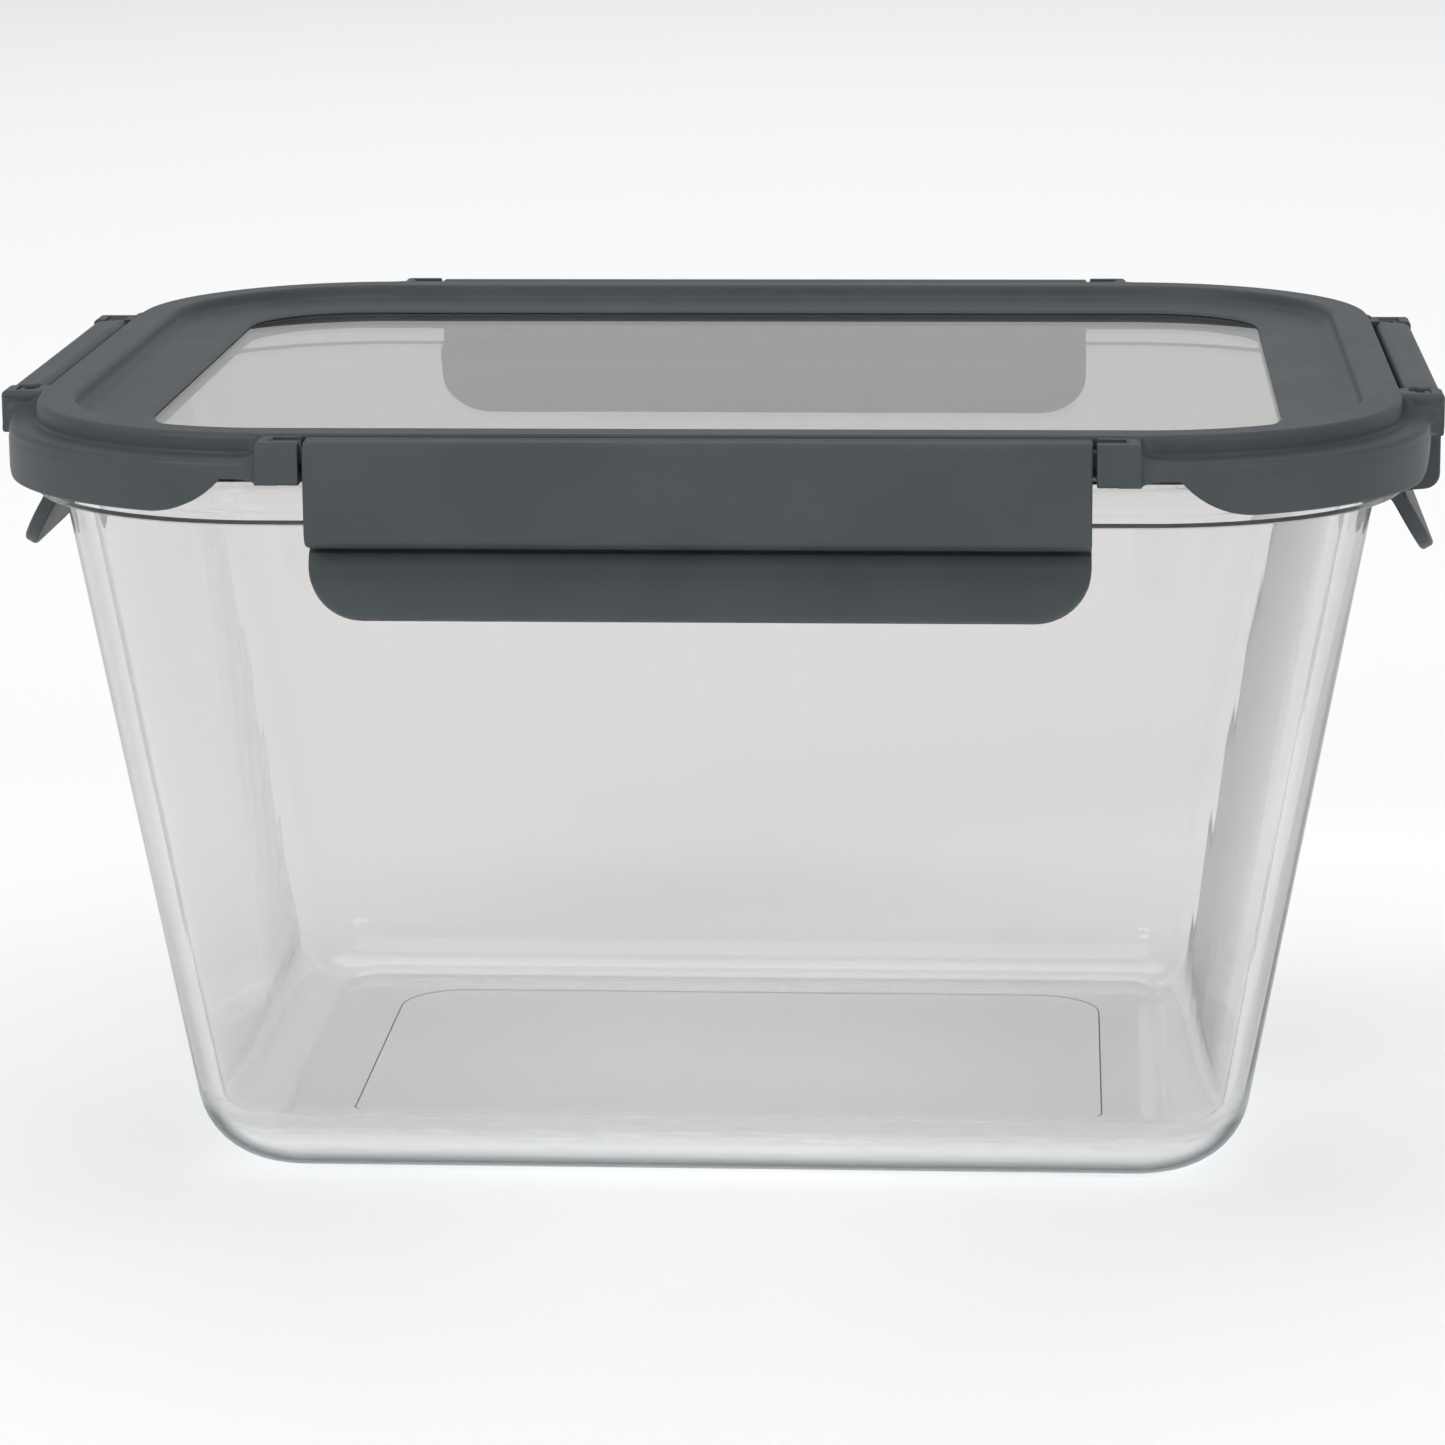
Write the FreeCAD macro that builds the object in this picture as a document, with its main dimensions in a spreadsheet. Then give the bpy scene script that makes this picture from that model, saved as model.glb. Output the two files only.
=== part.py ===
import FreeCAD, Part
import math
import os
import Sketcher

# Rectangular glass storage container with a snap-lock lid.
#
# Frame: origin at the centre of the face it stands on, +X along the long side, +Z up, front at -Y.
# Every outline in plan is a rounded rectangle that runs parallel to one envelope: the rectangle
# through the outer faces of the hinge lugs. An "offset" is a distance inwards from that envelope,
# and a "drop" is a distance down from the top of the lid.

DIMENSIONS = {
    # envelope
    "overall_width": 240.0,
    "overall_depth": 194.6,
    "overall_height": 131.5,
    "envelope_radius": 50.0,
    # glass body
    "glass_wall_offset": 11.1,
    "glass_wall": 4.1,
    "glass_floor": 5.0,
    "draft_angle": 10.4,
    "base_fillet": 14.0,
    "cavity_fillet": 10.5,
    "base_recess_width": 130.0,
    "base_recess_depth": 88.0,
    "base_recess_radius": 12.0,
    "base_recess_height": 0.7,
    "rim_offset": 6.7,
    "rim_top_drop": 7.6,
    "rim_bottom_drop": 14.8,
    "rim_top_fillet": 2.2,
    "rim_bottom_fillet": 0.8,
    # lid frame
    "skirt_offset": 2.6,
    "skirt_inner_offset": 5.4,
    "skirt_top_drop": 3.5,
    "skirt_bottom_drop": 12.3,
    "skirt_top_fillet": 2.3,
    "ring_offset": 7.2,
    "ring_inner_offset": 13.7,
    "ring_fillet": 1.0,
    "ledge_outer_drop": 2.2,
    "ledge_inner_drop": 3.0,
    "opening_offset": 27.0,
    "opening_radius": 20.0,
    "deck_bottom_drop": 6.6,
    "boss_offset": 16.0,
    "boss_bottom_drop": 9.2,
    "scallop_reach": 18.5,
    "scallop_radius": 16.0,
    "scallop_undercut": 0.15,
    "scallop_depth": 10.7,
    "cut_clearance": 1.0,
    # window
    "window_top_drop": 3.5,
    "window_thickness": 3.2,
    "window_overlap": 4.0,
    # seal
    "seal_outer_offset": 8.6,
    "seal_inner_offset": 13.6,
    "seal_top_drop": 4.9,
    # lugs, sockets and latches
    "lug_drop": 0.3,
    "lug_height": 7.0,
    "lug_thickness": 6.95,
    "lug_depth": 8.2,
    "long_lug_span": 125.1,
    "short_lug_span": 77.6,
    "lug_fillet": 0.8,
    "hinge_offset": 3.75,
    "hinge_drop": 3.1,
    "pin_radius": 1.5,
    "pin_length": 3.6,
    "socket_clearance": 0.06,
    "socket_length": 4.1,
    "latch_end_gap": 0.65,
    "latch_plate": 2.8,
    "latch_top_drop": 0.35,
    "latch_top_fillet": 2.6,
    "latch_panel_bottom": 14.1,
    "latch_panel_fillet": 3.2,
    "latch_panel_rise": 0.4,
    "catch_top": 12.1,
    "catch_nose_top": 13.0,
    "catch_nose_bottom": 14.6,
    "catch_reach": 5.85,
    "catch_lead": 0.7,
    "tab_root_reach": 1.9,
    "tab_root": 15.3,
    "tab_tip": 25.0,
    "tab_thickness": 2.4,
    "tab_angle": 30.0,
    "tab_corner_radius": 9.0,
    "slot_width": 1.6,
    "slot_length": 4.6,
    "slot_depth": 1.7,
}

doc = FreeCAD.newDocument("storage_container")
sheet = doc.addObject("Spreadsheet::Sheet", "dims")
for row, (alias, number) in enumerate(DIMENSIONS.items(), start=1):
    sheet.set(f"A{row}", alias)
    sheet.set(f"B{row}", str(number))
    sheet.setAlias(f"B{row}", alias)
doc.recompute()


def drop(alias):
    """Height of a level given as a drop from the top of the lid."""
    return f"dims.overall_height - dims.{alias}"


def half_x(alias):
    return f"dims.overall_width / 2 - dims.{alias}"


def half_y(alias):
    return f"dims.overall_depth / 2 - dims.{alias}"


def value(expression):
    """The number an expression gives with the sheet's present values."""
    return float(sheet.evalExpression(expression))


def envelope_loop(alias):
    """Rounded rectangle parallel to the envelope, at the named offset."""
    return half_x(alias), half_y(alias), f"dims.envelope_radius - dims.{alias}"


# ---------------------------------------------------------------- sketches

def new_body(name):
    body = doc.addObject("PartDesign::Body", name)
    body.Label = name
    return body


def new_sketch(body, name, plane, level):
    """A sketch on one of the body's origin planes, moved along its normal to the given level."""
    sketch = body.newObject("Sketcher::SketchObject", f"{body.Name}_{name}")
    origin_plane = next(f for f in body.Origin.OriginFeatures if f.Role == plane)
    sketch.AttachmentSupport = [(origin_plane, "")]
    sketch.MapMode = "FlatFace"
    sketch.setExpression("AttachmentOffset.Base.z", level)
    return sketch


def dimension(sketch, kind, first, second, expression):
    """Distance of two points along one sketch axis, bound to an expression that may be negative."""
    if value(expression) < 0:
        first, second = second, first
        expression = f"-({expression})"
    number = value(expression)
    index = sketch.addConstraint(Sketcher.Constraint(kind, *first, *second, number))
    sketch.setExpression(f"Constraints[{index}]", expression)


def pin_point(sketch, point, along_x, along_y):
    """Fixes a point of the sketch at coordinates given as expressions."""
    origin = (-1, 1)
    dimension(sketch, "DistanceX", origin, point, along_x)
    dimension(sketch, "DistanceY", origin, point, along_y)


def add_rounded_rectangle(sketch, width_half, depth_half, radius):
    """Four lines and four tangent arcs, centred on the sketch's origin."""
    a, b, r = value(width_half), value(depth_half), value(radius)
    normal = FreeCAD.Vector(0, 0, 1)
    corners = [(1, -1, -90), (1, 1, 0), (-1, 1, 90), (-1, -1, 180)]
    lines, arcs = [], []
    for index, (sx, sy, start) in enumerate(corners):
        centre = FreeCAD.Vector(sx * (a - r), sy * (b - r), 0)
        circle = Part.Circle(centre, normal, r)
        arc = Part.ArcOfCircle(circle, math.radians(start), math.radians(start + 90))
        px, py, _ = corners[index - 1]
        turn = math.radians(start)
        begin = FreeCAD.Vector(px * (a - r), py * (b - r), 0)
        outward = FreeCAD.Vector(math.cos(turn) * r, math.sin(turn) * r, 0)
        lines.append(sketch.addGeometry(Part.LineSegment(begin + outward, centre + outward)))
        arcs.append(sketch.addGeometry(arc))
    for index in range(4):
        following = lines[(index + 1) % 4]
        sketch.addConstraint(Sketcher.Constraint("Tangent", lines[index], 2, arcs[index], 1))
        sketch.addConstraint(Sketcher.Constraint("Tangent", arcs[index], 2, following, 1))
    for index in (0, 2):
        sketch.addConstraint(Sketcher.Constraint("Horizontal", lines[index]))
        sketch.addConstraint(Sketcher.Constraint("Vertical", lines[index + 1]))
    for arc in arcs[1:]:
        sketch.addConstraint(Sketcher.Constraint("Equal", arcs[0], arc))
    index = sketch.addConstraint(Sketcher.Constraint("Radius", arcs[0], r))
    sketch.setExpression(f"Constraints[{index}]", radius)
    dimension(sketch, "DistanceY", (lines[0], 1), (-1, 1), depth_half)
    dimension(sketch, "DistanceX", (-1, 1), (lines[1], 1), width_half)
    dimension(sketch, "DistanceY", (-1, 1), (lines[2], 1), depth_half)
    dimension(sketch, "DistanceX", (lines[3], 1), (-1, 1), width_half)


def rounded_sketch(body, name, level, *loops):
    sketch = new_sketch(body, name, "XY_Plane", level)
    for loop in loops:
        add_rounded_rectangle(sketch, *loop)
    return sketch


def add_polygon(sketch, points):
    """Closed polygon whose corners are pairs of expressions."""
    corners = [FreeCAD.Vector(value(x), value(y), 0) for x, y in points]
    sides = []
    for index, corner in enumerate(corners):
        following = corners[(index + 1) % len(corners)]
        sides.append(sketch.addGeometry(Part.LineSegment(corner, following)))
    for index, side in enumerate(sides):
        following = sides[(index + 1) % len(sides)]
        sketch.addConstraint(Sketcher.Constraint("Coincident", side, 2, following, 1))
    for side, (x, y) in zip(sides, points):
        pin_point(sketch, (side, 1), x, y)


def add_rectangle(sketch, low_x, high_x, low_y, high_y):
    add_polygon(sketch, [(low_x, low_y), (high_x, low_y), (high_x, high_y), (low_x, high_y)])


def add_circle(sketch, x, y, radius):
    centre = FreeCAD.Vector(value(x), value(y), 0)
    circle = Part.Circle(centre, FreeCAD.Vector(0, 0, 1), value(radius))
    geometry = sketch.addGeometry(circle)
    pin_point(sketch, (geometry, 3), x, y)
    index = sketch.addConstraint(Sketcher.Constraint("Radius", geometry, value(radius)))
    sketch.setExpression(f"Constraints[{index}]", radius)


# ---------------------------------------------------------------- features

def extrude(body, kind, sketch, length, reverse=False, both_ways=False, taper=None):
    """Pad or Pocket of a sketch by a length expression, with straight or drafted walls."""
    feature = body.newObject(f"PartDesign::{kind}", f"{sketch.Name}_{kind.lower()}")
    feature.Profile = sketch
    feature.setExpression("Length", length)
    feature.Reversed = reverse
    feature.Midplane = both_ways
    if taper:
        feature.setExpression("TaperAngle", taper)
    doc.recompute()
    return feature


def loft(body, kind, name, lower, upper):
    feature = body.newObject(f"PartDesign::{kind}", f"{body.Name}_{name}")
    feature.Profile = lower
    feature.Sections = [upper]
    feature.Ruled = True
    doc.recompute()
    return feature


def fillet(body, name, radius, test):
    """Rounds every edge of the body for which test(edge) is true."""
    base = body.Tip
    names = [f"Edge{i}" for i, edge in enumerate(base.Shape.Edges, start=1) if test(edge)]
    if not names:
        raise RuntimeError(f"{body.Name}: no edges found for {name}")
    feature = body.newObject("PartDesign::Fillet", f"{body.Name}_{name}")
    feature.Base = (base, names)
    feature.setExpression("Radius", radius)
    doc.recompute()
    return feature


def near(first, second):
    return abs(first - second) < 0.01


def distance_inside_envelope(x, y):
    """How far a point in plan lies inside the envelope rectangle with rounded corners."""
    radius = value("dims.envelope_radius")
    dx = abs(x) - (value("dims.overall_width") / 2 - radius)
    dy = abs(y) - (value("dims.overall_depth") / 2 - radius)
    if dx > 0 and dy > 0:
        return radius - math.hypot(dx, dy)
    return radius - max(dx, dy)


def level_loop(level, inset=None):
    """Test for edges that lie at one level and, if an inset is given, that far in from the envelope."""
    height = value(level)

    def test(edge):
        box = edge.BoundBox
        if not (near(box.ZMin, height) and near(box.ZMax, height)):
            return False
        if inset is None:
            return True
        middle = edge.valueAt(edge.getParameterByLength(edge.Length / 2))
        return near(distance_inside_envelope(middle.x, middle.y), value(inset))
    return test


# ---------------------------------------------------------------- glass body

def make_glass_body():
    """Drafted tub with a thick rim flange, all one pressed piece."""
    body = new_body("glass_body")
    rise = drop("rim_bottom_drop")
    shoulder = rounded_sketch(body, "shoulder", rise, envelope_loop("glass_wall_offset"))
    extrude(body, "Pad", shoulder, rise, reverse=True, taper="-dims.draft_angle")
    fillet(body, "base_fillet", "dims.base_fillet", level_loop("0"))

    rim = rounded_sketch(body, "rim", rise, envelope_loop("rim_offset"))
    extrude(body, "Pad", rim, "dims.rim_bottom_drop - dims.rim_top_drop")
    fillet(body, "rim_top_fillet", "dims.rim_top_fillet", level_loop(drop("rim_top_drop")))
    fillet(body, "rim_bottom_fillet", "dims.rim_bottom_fillet",
           level_loop(rise, "dims.rim_offset"))

    mouth_inset = ("(dims.glass_wall_offset + dims.glass_wall"
                   " - (dims.rim_bottom_drop - dims.rim_top_drop) * tan(dims.draft_angle))")
    mouth_loop = (f"dims.overall_width / 2 - {mouth_inset}",
                  f"dims.overall_depth / 2 - {mouth_inset}",
                  f"dims.envelope_radius - {mouth_inset}")
    mouth = rounded_sketch(body, "cavity_mouth", drop("rim_top_drop"), mouth_loop)
    extrude(body, "Pocket", mouth, f"{drop('rim_top_drop')} - dims.glass_floor",
            taper="-dims.draft_angle")
    fillet(body, "cavity_fillet", "dims.cavity_fillet", level_loop("dims.glass_floor"))
    fillet(body, "mouth_fillet", "dims.rim_bottom_fillet",
           level_loop(drop("rim_top_drop"), mouth_inset))

    recess = rounded_sketch(body, "base_recess", "0", (
        "dims.base_recess_width / 2", "dims.base_recess_depth / 2", "dims.base_recess_radius"))
    extrude(body, "Pocket", recess, "dims.base_recess_height", reverse=True)
    return body


# ---------------------------------------------------------------- lid

SIDES = {
    # name: (sketch plane, outside distance, lug span, faces the other way)
    "front": ("XZ_Plane", "dims.overall_depth / 2", "dims.long_lug_span", False),
    "back": ("XZ_Plane", "dims.overall_depth / 2", "dims.long_lug_span", True),
    "right": ("YZ_Plane", "dims.overall_width / 2", "dims.short_lug_span", False),
    "left": ("YZ_Plane", "dims.overall_width / 2", "dims.short_lug_span", True),
}


def mirrored_rectangles(sketch, half_span, inner, outer, reach, flip):
    """Two rectangles, one at each end of a side, from inner to outer along the side."""
    for sign in ("", "-"):
        along = (f"{sign}({half_span} + {inner})", f"{sign}({half_span} + {outer})")
        if sign:
            along = along[::-1]
        across = reach
        if flip:
            across = (f"-({reach[1]})", f"-({reach[0]})")
        yield along, across


def add_side_rectangles(sketch, inner, outer, reach):
    """Rectangles at both ends of all four sides.

    inner and outer run along a side, from half the lug span; reach is a pair of offsets.
    """
    for plane, outside, span, flip in SIDES.values():
        low = f"{outside} - ({reach[1]})"
        high = f"{outside} - ({reach[0]})"
        flips = flip if plane == "YZ_Plane" else not flip
        for along, across in mirrored_rectangles(
                sketch, f"{span} / 2", inner, outer, (low, high), flips):
            if plane == "YZ_Plane":
                add_rectangle(sketch, *across, *along)
            else:
                add_rectangle(sketch, *along, *across)


def cut_latch_bays(body):
    """Removes the skirt between the lugs, out to the lugs' outer faces, on all four sides."""
    sketch = new_sketch(body, "bays", "XY_Plane", "dims.overall_height + dims.cut_clearance")
    for plane, outside, span, flip in SIDES.values():
        half = f"{span} / 2 + dims.lug_thickness"
        near_edge = f"{outside} - dims.ring_offset"
        far_edge = f"{outside} + dims.cut_clearance"
        flips = flip if plane == "YZ_Plane" else not flip
        if flips:
            near_edge, far_edge = f"-({far_edge})", f"-({near_edge})"
        if plane == "YZ_Plane":
            add_rectangle(sketch, near_edge, far_edge, f"-({half})", half)
        else:
            add_rectangle(sketch, f"-({half})", half, near_edge, far_edge)
    extrude(body, "Pocket", sketch, "dims.skirt_bottom_drop + 2 * dims.cut_clearance")


def cut_scallop(body, name, plane, outside, span, flip):
    """Curved cut-away of the skirt below the web, from one side's bay towards the corners."""
    level = f"{outside} + dims.cut_clearance"
    sketch = new_sketch(body, f"scallop_{name}", plane, f"-({level})" if flip else level)
    web = drop("deck_bottom_drop")
    end = f"{span} / 2 + dims.lug_thickness + dims.scallop_reach"
    bottom = f"{drop('skirt_bottom_drop')} - dims.scallop_undercut"
    centre_z = f"{bottom} + dims.scallop_radius"
    radius = value("dims.scallop_radius")
    top_angle = math.asin((value(centre_z) - value(web)) / radius)
    normal = FreeCAD.Vector(0, 0, 1)
    ends = {}
    for side, sign in (("high", 1), ("low", -1)):
        centre = FreeCAD.Vector(sign * value(end), value(centre_z), 0)
        circle = Part.Circle(centre, normal, radius)
        if sign > 0:
            arc = Part.ArcOfCircle(circle, math.pi + top_angle, 1.5 * math.pi)
        else:
            arc = Part.ArcOfCircle(circle, 1.5 * math.pi, 2 * math.pi - top_angle)
        geometry = sketch.addGeometry(arc)
        pin_point(sketch, (geometry, 3), end if sign > 0 else f"-({end})", centre_z)
        index = sketch.addConstraint(Sketcher.Constraint("Radius", geometry, radius))
        sketch.setExpression(f"Constraints[{index}]", "dims.scallop_radius")
        ends[side] = (geometry, 1 if sign > 0 else 2, 2 if sign > 0 else 1)
    top = sketch.addGeometry(Part.LineSegment(
        sketch.getPoint(*ends["low"][:2]), sketch.getPoint(*ends["high"][:2])))
    base = sketch.addGeometry(Part.LineSegment(
        sketch.getPoint(ends["low"][0], ends["low"][2]),
        sketch.getPoint(ends["high"][0], ends["high"][2])))
    for line, corner in ((top, 1), (base, 2)):
        for point, side in ((1, "low"), (2, "high")):
            geometry = ends[side][0]
            sketch.addConstraint(Sketcher.Constraint(
                "Coincident", line, point, geometry, ends[side][corner]))
    dimension(sketch, "DistanceY", (-1, 1), (top, 1), web)
    sketch.addConstraint(Sketcher.Constraint("Horizontal", top))
    for side in ("low", "high"):
        geometry, _, foot = ends[side]
        sketch.addConstraint(Sketcher.Constraint("Vertical", geometry, foot, geometry, 3))
    extrude(body, "Pocket", sketch, "dims.scallop_depth", reverse=flip)


def make_lid_frame():
    """Moulded lid frame: raised ring, dished ledge, skirt, seal groove and hinge lugs."""
    body = new_body("lid_frame")
    skirt = rounded_sketch(body, "skirt", drop("skirt_bottom_drop"), envelope_loop("skirt_offset"))
    extrude(body, "Pad", skirt, "dims.skirt_bottom_drop - dims.skirt_top_drop")
    fillet(body, "skirt_fillet", "dims.skirt_top_fillet", level_loop(drop("skirt_top_drop")))
    ring = rounded_sketch(body, "ring", drop("deck_bottom_drop"), envelope_loop("ring_offset"))
    extrude(body, "Pad", ring, "dims.deck_bottom_drop")
    fillet(body, "ring_fillet", "dims.ring_fillet", level_loop("dims.overall_height"))

    step = envelope_loop("ring_inner_offset")
    opening = (half_x("opening_offset"), half_y("opening_offset"), "dims.opening_radius")
    top = rounded_sketch(body, "step", "dims.overall_height", step)
    extrude(body, "Pocket", top, "dims.ledge_outer_drop")
    dish_top = rounded_sketch(body, "dish_top", drop("ledge_outer_drop"), step)
    dish_bottom = rounded_sketch(body, "dish_bottom", drop("ledge_inner_drop"), opening)
    loft(body, "SubtractiveLoft", "dish", dish_bottom, dish_top)
    hole = rounded_sketch(body, "opening", drop("ledge_inner_drop"), opening)
    extrude(body, "Pocket", hole, "dims.skirt_bottom_drop")

    window_bottom = f"{drop('window_top_drop')} - dims.window_thickness"
    rabbet = rounded_sketch(body, "rabbet", window_bottom, window_loop())
    extrude(body, "Pocket", rabbet, "dims.window_thickness", reverse=True)

    skirt_floor = drop("skirt_bottom_drop")
    hollow = rounded_sketch(body, "hollow", skirt_floor, envelope_loop("skirt_inner_offset"))
    extrude(body, "Pocket", hollow, "dims.skirt_bottom_drop - dims.boss_bottom_drop", reverse=True)
    moat = rounded_sketch(body, "moat", drop("boss_bottom_drop"),
                          envelope_loop("skirt_inner_offset"), envelope_loop("boss_offset"))
    extrude(body, "Pocket", moat, "dims.boss_bottom_drop - dims.deck_bottom_drop", reverse=True)
    groove = rounded_sketch(body, "seal_groove", drop("deck_bottom_drop"),
                            envelope_loop("seal_outer_offset"), envelope_loop("seal_inner_offset"))
    extrude(body, "Pocket", groove, "dims.deck_bottom_drop - dims.seal_top_drop", reverse=True)

    cut_latch_bays(body)
    for name, (plane, outside, span, flip) in SIDES.items():
        cut_scallop(body, name, plane, outside, span, flip)

    lugs = new_sketch(body, "lugs", "XY_Plane", f"{drop('lug_drop')} - dims.lug_height")
    add_side_rectangles(lugs, "0", "dims.lug_thickness", ("0", "dims.lug_depth"))
    extrude(body, "Pad", lugs, "dims.lug_height")
    fillet(body, "lug_fillet", "dims.lug_fillet", lug_outer_edge)

    for plane, outside, span, _ in (SIDES["front"], SIDES["right"]):
        other = "YZ_Plane" if plane == "XZ_Plane" else "XZ_Plane"
        sockets = new_sketch(body, f"sockets_{plane[:2]}", other, "0")
        for sign in ("", "-"):
            across = f"{sign}({outside} - dims.hinge_offset)"
            add_circle(sockets, across, drop("hinge_drop"),
                       "dims.pin_radius + dims.socket_clearance")
        extrude(body, "Pocket", sockets, f"{span} + 2 * dims.socket_length", both_ways=True)

    slots = new_sketch(body, "slots", "XY_Plane", drop("lug_drop"))
    reach = ("dims.hinge_offset - dims.slot_width / 2", "dims.hinge_offset + dims.slot_width / 2")
    add_side_rectangles(slots, "-dims.cut_clearance / 2", "dims.slot_length", reach)
    extrude(body, "Pocket", slots, "dims.slot_depth")
    return body


def lug_outer_edge(edge):
    """Edges round the outward face of each lug."""
    height, half_w, half_d = (value(f"dims.overall_{n}") for n in ("height", "width", "depth"))
    box = edge.BoundBox
    flat_x = near(abs(box.XMin), half_w / 2) and near(box.XMin, box.XMax)
    flat_y = near(abs(box.YMin), half_d / 2) and near(box.YMin, box.YMax)
    return (flat_x or flat_y) and box.ZMin > height - value("dims.boss_bottom_drop")


def window_loop():
    """Outline of the window panel, which reaches into the frame all round."""
    return (f"{half_x('opening_offset')} + dims.window_overlap",
            f"{half_y('opening_offset')} + dims.window_overlap",
            "dims.opening_radius + dims.window_overlap")


def make_lid_window():
    """Flat clear panel moulded into the frame."""
    body = new_body("lid_window")
    bottom = f"{drop('window_top_drop')} - dims.window_thickness"
    panel = rounded_sketch(body, "panel", bottom, window_loop())
    extrude(body, "Pad", panel, "dims.window_thickness")
    return body


def make_seal_ring():
    """Gasket in the frame's groove, which bears on the top of the glass rim."""
    body = new_body("seal_ring")
    section = rounded_sketch(body, "section", drop("rim_top_drop"),
                             envelope_loop("seal_outer_offset"),
                             envelope_loop("seal_inner_offset"))
    extrude(body, "Pad", section, "dims.rim_top_drop - dims.seal_top_drop")
    return body


# ---------------------------------------------------------------- latches

def make_latch(name, span, position, turn):
    """Flap latch with stub pins, drawn with its hinge axis on the body's X axis, facing -Y."""
    body = new_body(name)
    profile = new_sketch(body, "profile", "YZ_Plane", "0")
    face = "-dims.hinge_offset"
    back = "-(dims.hinge_offset - dims.latch_plate)"
    knuckle_radius = "(dims.hinge_drop - dims.latch_top_drop)"
    lean_in = "dims.tab_thickness * cos(dims.tab_angle)"
    lean_down = "dims.tab_thickness * sin(dims.tab_angle)"
    tab_fall = "(dims.tab_tip - dims.tab_root)"
    tip = f"dims.tab_root_reach - {tab_fall} * tan(dims.tab_angle)"
    corners = [
        ("0", knuckle_radius),
        (face, knuckle_radius),
        (face, "-dims.latch_panel_bottom"),
        ("dims.tab_root_reach", "-(dims.latch_panel_bottom + dims.latch_panel_rise)"),
        ("dims.tab_root_reach", "-dims.tab_root"),
        (tip, "-dims.tab_tip"),
        (f"{tip} + {lean_in}", f"-(dims.tab_tip + {lean_down})"),
        (f"dims.tab_root_reach + {lean_in}", f"-(dims.tab_root + {lean_down})"),
        ("dims.catch_reach", "-dims.catch_nose_bottom"),
        ("dims.catch_reach", "-dims.catch_nose_top"),
        ("dims.catch_reach - dims.catch_lead", "-dims.catch_top"),
        (back, "-dims.catch_top"),
        (back, "-dims.pin_radius"),
        ("0", "-dims.pin_radius"),
    ]
    add_polygon(profile, corners)
    width = f"({span} - 2 * dims.latch_end_gap)"
    extrude(body, "Pad", profile, width, both_ways=True)
    fillet(body, "tab_corners", "dims.tab_corner_radius", tip_corner_edge)
    fillet(body, "panel_fillet", "dims.latch_panel_fillet",
           long_edge_at(face, "-dims.latch_panel_bottom"))
    fillet(body, "top_fillet", "dims.latch_top_fillet", long_edge_at(face, knuckle_radius))
    knuckle = new_sketch(body, "knuckle", "YZ_Plane", "0")
    add_circle(knuckle, "0", "0", knuckle_radius)
    extrude(body, "Pad", knuckle, width, both_ways=True)
    pins = new_sketch(body, "pins", "YZ_Plane", "0")
    add_circle(pins, "0", "0", "dims.pin_radius")
    extrude(body, "Pad", pins, f"{span} + 2 * dims.pin_length", both_ways=True)
    x, y = position
    rotation = FreeCAD.Rotation(FreeCAD.Vector(0, 0, 1), turn)
    body.Placement = FreeCAD.Placement(FreeCAD.Vector(0, 0, 0), rotation)
    body.setExpression("Placement.Base.x", x)
    body.setExpression("Placement.Base.y", y)
    body.setExpression("Placement.Base.z", drop("hinge_drop"))
    return body


def tip_corner_edge(edge):
    """The two short edges across the tab's thickness at its lower corners."""
    box = edge.BoundBox
    low = value("-(dims.tab_tip + dims.tab_thickness * sin(dims.tab_angle))")
    high = value("-dims.tab_tip")
    return near(box.XMin, box.XMax) and near(box.ZMin, low) and near(box.ZMax, high)


def long_edge_at(y, z):
    """Test for the edge along X through a point of the profile."""
    def test(edge):
        box = edge.BoundBox
        along = near(box.XLength, box.DiagonalLength)
        here = near(box.YMin, value(y)) and near(box.YMax, value(y))
        return along and here and near(box.ZMin, value(z)) and near(box.ZMax, value(z))
    return test


LATCHES = {
    # name: (lug span, x, y, turn about Z)
    "latch_front": ("dims.long_lug_span", "0", f"-({half_y('hinge_offset')})", 0),
    "latch_back": ("dims.long_lug_span", "0", half_y("hinge_offset"), 180),
    "latch_right": ("dims.short_lug_span", half_x("hinge_offset"), "0", 90),
    "latch_left": ("dims.short_lug_span", f"-({half_x('hinge_offset')})", "0", -90),
}

parts = [make_glass_body(), make_lid_frame(), make_lid_window(), make_seal_ring()]
for name, (span, x, y, turn) in LATCHES.items():
    parts.append(make_latch(name, span, (x, y), turn))
doc.recompute()

# ---------------------------------------------------------------- checks and export

for item in doc.Objects:
    faults = [state for state in item.State if state in ("Invalid", "Error")]
    if faults:
        raise RuntimeError(f"{item.Name} is {faults}")
for body in parts:
    if body.Shape.isNull() or not body.Shape.isValid():
        raise RuntimeError(f"{body.Label} has no valid shape")
os.makedirs("parts", exist_ok=True)
for body in parts:
    body.Shape.exportStep(f"parts/{body.Label}.step")
    box = body.Shape.BoundBox
    print(f"{body.Label}: {body.Shape.Volume / 1000:.1f} cm3, {len(body.Shape.Solids)} solid,"
          f" z {box.ZMin:.2f} to {box.ZMax:.2f}")
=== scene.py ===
import math

import bmesh
import bpy
from mathutils import Matrix, Vector


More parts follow.
